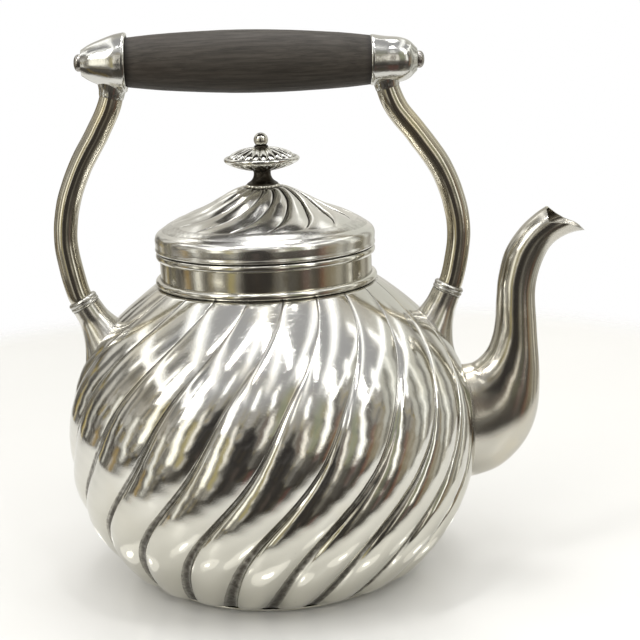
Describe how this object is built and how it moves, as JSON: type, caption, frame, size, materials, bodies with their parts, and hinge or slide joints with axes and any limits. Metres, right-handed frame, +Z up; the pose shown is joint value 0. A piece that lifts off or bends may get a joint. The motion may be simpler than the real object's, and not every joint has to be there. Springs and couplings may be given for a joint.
{
  "type": "kettle",
  "caption": "Spiral-lobed silver-plated kettle with a curved beaked spout, a fixed arched handle with a dark wooden grip, and a fluted lid hinged at the back.",
  "frame": {"origin": "centre of the flat underside of the base plate", "axes": "+Z up through the centre of the body, +X towards the spout, +Y towards the lid hinge at the back"},
  "size_m": [0.2228, 0.1732, 0.2316],
  "materials": {
    "silver_plate": "polished silver plate, lightly worn, dark in the grooves",
    "dark_wood": "matte dark stained hardwood with fine grain",
    "steel_rod": "plain drawn rod",
    "brass_fitting": "plain turned brass"
  },
  "bodies": {
    "kettle": {"base_plate": "silver_plate", "body_shell": "silver_plate", "neck_band": "silver_plate", "neck_foot_bead": "silver_plate", "neck_rim": "silver_plate", "hinge_bracket": "silver_plate", "hinge_pin": "brass_fitting", "spout": "silver_plate", "left_socket": "silver_plate", "right_socket": "silver_plate", "left_collar": "silver_plate", "right_collar": "silver_plate", "left_arm": "silver_plate", "right_arm": "silver_plate", "left_ferrule": "silver_plate", "right_ferrule": "silver_plate", "grip": "dark_wood", "tie_rod": "steel_rod", "left_nut": "silver_plate", "right_nut": "silver_plate"},
    "lid": {"lid_dome": "silver_plate", "lid_bezel": "silver_plate", "lid_knuckle": "silver_plate", "finial_foot": "silver_plate", "finial_stem": "silver_plate", "finial_disc": "silver_plate", "finial_bead": "silver_plate", "finial_stud": "brass_fitting", "finial_washer": "brass_fitting", "finial_nut": "brass_fitting"}
  },
  "joints": [
    {"name": "lid_hinge", "type": "hinge", "parent": "kettle", "child": "lid", "pos_m": [0, 0.049, 0.14155], "axis": [-1, 0, 0], "range_deg": [0, 40]}
  ]
}
